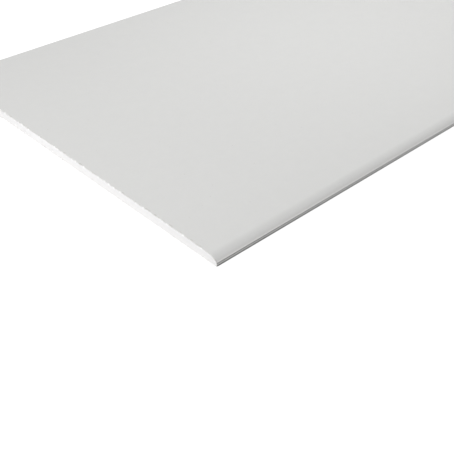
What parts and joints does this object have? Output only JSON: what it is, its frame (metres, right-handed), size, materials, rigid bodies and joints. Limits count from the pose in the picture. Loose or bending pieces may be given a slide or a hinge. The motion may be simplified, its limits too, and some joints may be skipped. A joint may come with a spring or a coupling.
{
  "type": "drywall sheet",
  "caption": "Flat drywall sheet with paper-wrapped tapered long edges, square-cut gypsum ends and a plain back paper.",
  "frame": {"origin": "middle of the back, where the sheet rests", "axes": "+X along the long edges, +Y across the sheet, +Z out of the face paper"},
  "size_m": [2, 0.6, 0.0125],
  "materials": {
    "cast_gypsum": "matt, open-pored cut surface",
    "face_paper": "matt light grey paper",
    "back_paper": "matt grey-brown recycled paper"
  },
  "bodies": {
    "root": {"gypsum_core": "cast_gypsum", "face_paper": "face_paper", "back_paper": "back_paper"}
  },
  "joints": []
}
